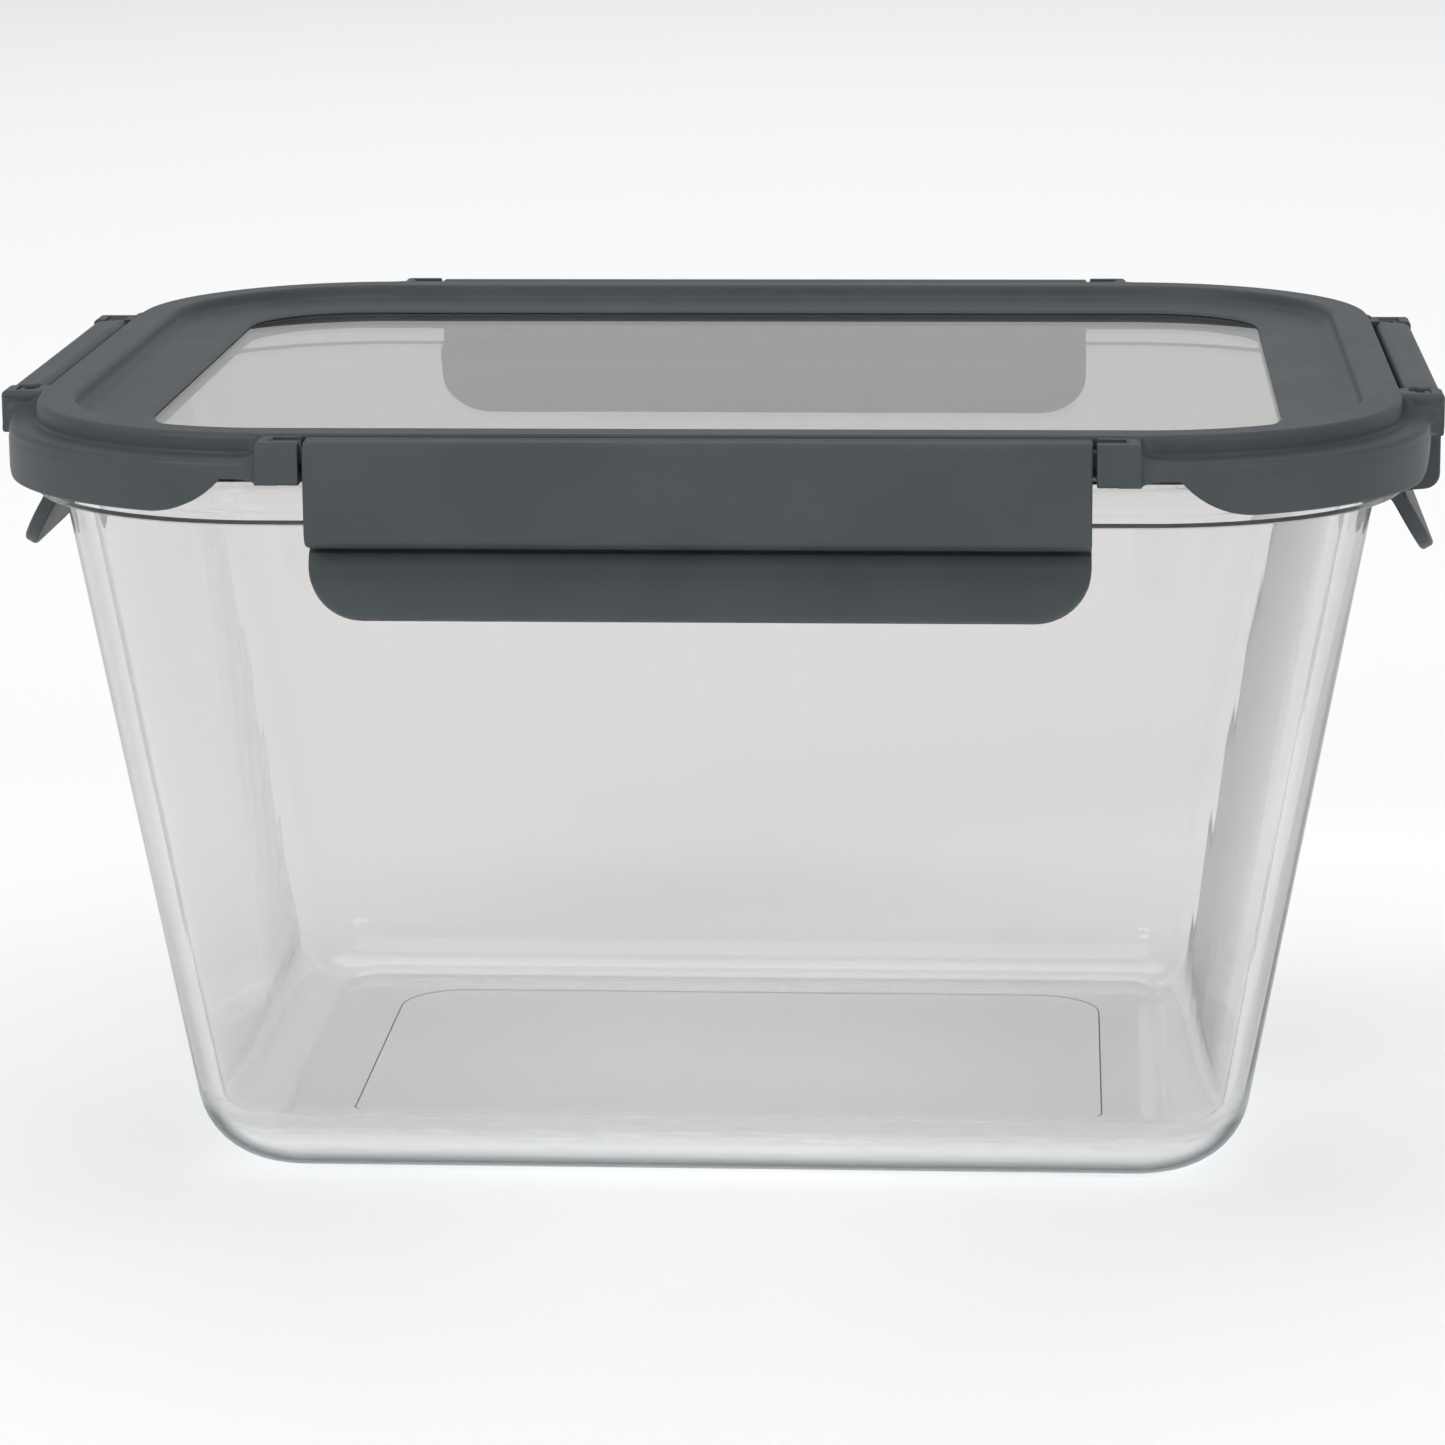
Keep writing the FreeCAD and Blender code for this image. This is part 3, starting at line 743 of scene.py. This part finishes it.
def painted_shade_places(nodes, links, slant, place, edge_start, flange_strength):
    """Where glass gets painted near-black shade: along its outline, under the rim flange and round
    its heel.
    """
    facing_up = height_of(nodes, links, place, "Normal")
    height = height_of(nodes, links, place, "Object")
    not_level = arithmetic(nodes, links, "MINIMUM",
                           spread(nodes, links, facing_up, 0.0, 0.9, -0.95, -0.80),
                           spread(nodes, links, facing_up, 0.9, 0.0, 0.80, 0.95))
    outline = arithmetic(nodes, links, "MULTIPLY",
                         spread(nodes, links, slant, 0.0, 1.0, edge_start, 0.97), not_level)
    flange_height = arithmetic(nodes, links, "MULTIPLY",
                               spread(nodes, links, height, 0.0, 1.0,
                                      (TOP - 15.10) * MM, (TOP - 14.95) * MM),
                               spread(nodes, links, height, 1.0, 0.0,
                                      (TOP - 14.10) * MM, (TOP - 13.90) * MM))
    level = spread(nodes, links, not_level, flange_strength, 0.0, 0.0, 0.9)
    flange = arithmetic(nodes, links, "MULTIPLY", level, flange_height)
    heel = arithmetic(nodes, links, "MULTIPLY",
                      spread(nodes, links, slant, 0.0, 0.9, 0.48, 0.68),
                      spread(nodes, links, facing_up, 1.0, 0.0, -0.32, -0.12))
    either = arithmetic(nodes, links, "MAXIMUM", outline, flange)
    return arithmetic(nodes, links, "MAXIMUM", either, heel)


def painted_foot_light_places(nodes, links, place):
    """Where glass gets painted pale light: its rounded underside, where it turns to the surface it
    stands on.
    """
    facing_up = height_of(nodes, links, place, "Normal")
    return arithmetic(nodes, links, "MULTIPLY",
                      spread(nodes, links, facing_up, 0.6, 0.0, -0.50, -0.25),
                      spread(nodes, links, facing_up, 0.0, 1.0, -0.995, -0.97))


def clear_glass(name, base, ripple_strength, edge_start, flange_strength):
    """Pressed glass: smooth, faintly rippled, and blue-green where light runs far through it; painted
    shade darkens its grazing edges, outline, rim flange underside and heel, and painted light
    brightens the underside of its foot.
    """
    material, nodes, links = new_material(name)
    out = nodes.new("ShaderNodeOutputMaterial")
    place = nodes.new("ShaderNodeTexCoord")
    layer_weight = nodes.new("ShaderNodeLayerWeight")
    layer_weight.inputs["Blend"].default_value = 0.5
    slant = layer_weight.outputs["Facing"]

    glass = nodes.new("ShaderNodeBsdfPrincipled")
    # Painted shade: the base colour turns dark teal towards grazing angles.
    grazing = spread(nodes, links, slant, 0.0, 0.8, edge_start, 1.0)
    links.new(blend_colours(nodes, links, grazing, base, PAINTED_EDGE_TINT), glass.inputs["Base Color"])
    glass.inputs["Transmission Weight"].default_value = 1.0
    glass.inputs["Roughness"].default_value = 0.0
    glass.inputs["IOR"].default_value = 1.5
    ripple = noise(nodes, links, 26.0, 1.0)
    links.new(bump(nodes, links, ripple, ripple_strength, 0.0006), glass.inputs["Normal"])

    # Painted light: a pale shader mixed in on the rounded underside of the foot.
    surface = mix_shaders(nodes, links, painted_foot_light_places(nodes, links, place),
                          glass.outputs[0], principled(nodes, PAINTED_FOOT_LIGHT, 0.3))
    # Painted shade: a near-black shader along the outline, under the rim flange and round the heel.
    dark = painted_shade_places(nodes, links, slant, place, edge_start, flange_strength)
    surface = mix_shaders(nodes, links, dark, surface, principled(nodes, PAINTED_EDGE_SHADE, 0.25))
    see_through = nodes.new("ShaderNodeBsdfTransparent")
    see_through.inputs["Color"].default_value = (*SHADOW_TINT, 1.0)
    path = nodes.new("ShaderNodeLightPath")
    surface = mix_shaders(nodes, links, path.outputs["Is Shadow Ray"],
                          surface, see_through.outputs[0])
    links.new(surface, out.inputs["Surface"])

    depth = nodes.new("ShaderNodeVolumeAbsorption")
    depth.inputs["Color"].default_value = (*DEPTH_TINT, 1.0)
    depth.inputs["Density"].default_value = 8.0
    links.new(depth.outputs[0], out.inputs["Volume"])
    return material


def silicone():
    """Pale translucent rubber with a soft, slightly uneven surface."""
    material, nodes, links = new_material("pale_silicone")
    shader = nodes.new("ShaderNodeBsdfPrincipled")
    out = nodes.new("ShaderNodeOutputMaterial")
    links.new(shader.outputs[0], out.inputs["Surface"])
    clouds = spread(nodes, links, noise(nodes, links, 120.0), 0.0, 1.0)
    links.new(blend_colours(nodes, links, clouds, (0.60, 0.62, 0.61), (0.68, 0.69, 0.68)),
              shader.inputs["Base Color"])
    shader.inputs["Roughness"].default_value = 0.5
    shader.inputs["Subsurface Weight"].default_value = 0.25
    shader.inputs["Subsurface Radius"].default_value = (0.002, 0.002, 0.002)
    fine = noise(nodes, links, 2500.0)
    links.new(bump(nodes, links, fine, 0.2, 0.00005), shader.inputs["Normal"])
    return material


# ---------------------------------------------------------------- the object

plastic = moulded_plastic()
tub_glass = clear_glass("tub_glass", (0.880, 0.868, 0.860), 0.06, 0.78, 0.75)
window_glass = clear_glass("window_glass", (0.74, 0.73, 0.72), 0.01, 0.92, 0.0)
rubber = silicone()
LATCHES = {
    # name: (turn about Z, side)
    "front": (0.0, "long"),
    "back": (180.0, "long"),
    "right": (90.0, "short"),
    "left": (-90.0, "short"),
}


def place_piece(piece, node, body, material):
    """Gives a piece its material and its body, and hides the CAD node that it stands for."""
    piece.data.materials.clear()
    piece.data.materials.append(material)
    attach(piece, body)
    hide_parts(node)


place_piece(make_glass_body(), "glass_body", "container", tub_glass)
place_piece(make_lid_frame(), "lid_frame", "lid", plastic)
place_piece(make_lid_window(), "lid_window", "lid", window_glass)
place_piece(make_seal_ring(), "seal_ring", "lid", rubber)
for where, (turn, side) in LATCHES.items():
    outside = HALF_Y if side == "long" else HALF_X
    latch = make_latch(f"{where}_flap", SIDES[side][0], turn, outside)
    place_piece(latch, f"latch_{where}", f"{where}_latch", plastic)

# ---------------------------------------------------------------- stage, light and camera

def make_floor():
    mesh = bmesh.new()
    bmesh.ops.create_circle(mesh, cap_ends=True, radius=14.0, segments=96)
    data = bpy.data.meshes.new("floor")
    mesh.to_mesh(data)
    mesh.free()
    floor = bpy.data.objects.new("floor", data)
    floor.location.z = -0.0002
    bpy.context.scene.collection.objects.link(floor)
    material, nodes, links = new_material("pale_floor")
    shader = nodes.new("ShaderNodeBsdfPrincipled")
    out = nodes.new("ShaderNodeOutputMaterial")
    links.new(shader.outputs[0], out.inputs["Surface"])
    shader.inputs["Base Color"].default_value = (0.86, 0.86, 0.86, 1.0)
    shader.inputs["Roughness"].default_value = 0.9
    shader.inputs["Specular IOR Level"].default_value = 0.1
    data.materials.append(material)


def make_world():
    """Pale round the horizon, like the walls of a studio, and dim overhead."""
    world = bpy.data.worlds.new("studio")
    world.use_nodes = True
    nodes, links = world.node_tree.nodes, world.node_tree.links
    direction = nodes.new("ShaderNodeTexCoord")
    split = nodes.new("ShaderNodeSeparateXYZ")
    links.new(direction.outputs["Generated"], split.inputs[0])
    rise = spread(nodes, links, split.outputs["Z"], 0.0, 1.0, 0.25, 0.60)
    links.new(blend_colours(nodes, links, rise, (0.60, 0.60, 0.60), (0.16, 0.16, 0.165)),
              nodes["Background"].inputs["Color"])
    bpy.context.scene.world = world


def make_light(name, place, target, size, power, glare=True):
    data = bpy.data.lights.new(name, "AREA")
    data.shape = "RECTANGLE"
    data.size, data.size_y = size
    data.energy = power
    light = bpy.data.objects.new(name, data)
    light.location = place
    light.rotation_mode = "QUATERNION"
    light.rotation_quaternion = (Vector(target) - Vector(place)).to_track_quat("-Z", "Y")
    light.visible_glossy = glare
    bpy.context.scene.collection.objects.link(light)


def make_camera():
    """Low three-quarter view from in front, turned slightly to the left."""
    place = Vector((0.05576, -0.88049, 0.2624))
    yaw, pitch, roll = 0.06601, 0.2201, -0.00788
    forward = Vector((0.0, math.cos(pitch), -math.sin(pitch)))
    up = Vector((0.0, math.sin(pitch), math.cos(pitch)))
    turn = Matrix.Rotation(yaw, 3, "Z")
    forward, up = turn @ forward, turn @ up
    right = forward.cross(up)
    tilted_right = right * math.cos(roll) + up * math.sin(roll)
    tilted_up = up * math.cos(roll) - right * math.sin(roll)
    data = bpy.data.cameras.new("camera")
    data.sensor_width = 36.0
    data.lens = 127.06
    data.clip_end = 60.0
    camera = bpy.data.objects.new("camera", data)
    axes = Matrix((tilted_right, tilted_up, -forward)).transposed()
    camera.matrix_world = Matrix.Translation(place) @ axes.to_4x4()
    bpy.context.scene.collection.objects.link(camera)
    bpy.context.scene.camera = camera


make_floor()
make_world()
make_light("overhead", (0.0, 1.1, 2.6), (0.0, 1.1, 0.0), (3.0, 5.0), 97, glare=False)
make_light("key", (-1.1, -1.5, 1.2), (0, 0, 0.06), (0.8, 0.8), 12)
make_light("fill", (1.2, -1.4, 0.9), (0, 0, 0.06), (0.8, 0.8), 6)
make_camera()
bpy.context.scene.view_settings.view_transform = "Standard"
